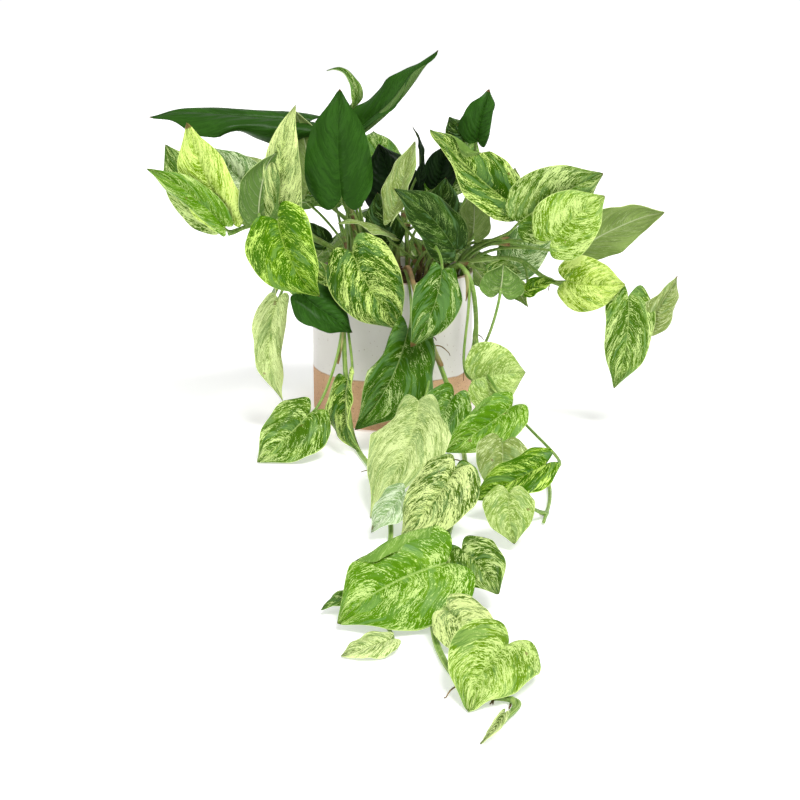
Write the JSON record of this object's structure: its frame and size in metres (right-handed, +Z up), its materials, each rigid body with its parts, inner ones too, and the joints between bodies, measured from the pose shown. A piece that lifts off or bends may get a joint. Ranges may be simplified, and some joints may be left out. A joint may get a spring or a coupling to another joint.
{
  "type": "potted pothos plant",
  "caption": "Variegated pothos with heart-shaped marbled leaves, standing in a straight two-tone stoneware pot, its long vines trailing forward along the surface.",
  "frame": {"origin": "middle of the pot's flat underside, on the surface that the pot stands on", "axes": "+Z up along the pot's axis; the vines trail over the rim at the front, towards -Y; +X to the right as seen from the front"},
  "size_m": [0.4823, 0.7563, 0.3411],
  "materials": {
    "stoneware": "satin",
    "soil": "matte",
    "foliage_marbled": "gloss",
    "foliage_dark": "gloss"
  },
  "bodies": {
    "root": {"pot": "stoneware", "soil": "soil", "leafy_stem_left_upper": "foliage_marbled", "leafy_stem_left_front": "foliage_marbled", "leafy_stem_left_tall": "foliage_dark", "leafy_stem_left_vine": "foliage_marbled", "leafy_stem_main_vine": "foliage_marbled", "leafy_stem_right_vine": "foliage_marbled", "leafy_stem_right_arch": "foliage_marbled", "leafy_stem_right_upper": "foliage_marbled", "leafy_stem_right_mid": "foliage_marbled", "leafy_stem_centre_dark": "foliage_dark", "leafy_stem_centre_front": "foliage_marbled", "leafy_stem_back_left": "foliage_marbled", "leafy_stem_back_centre": "foliage_marbled", "leafy_stem_back_right": "foliage_marbled"}
  },
  "joints": []
}
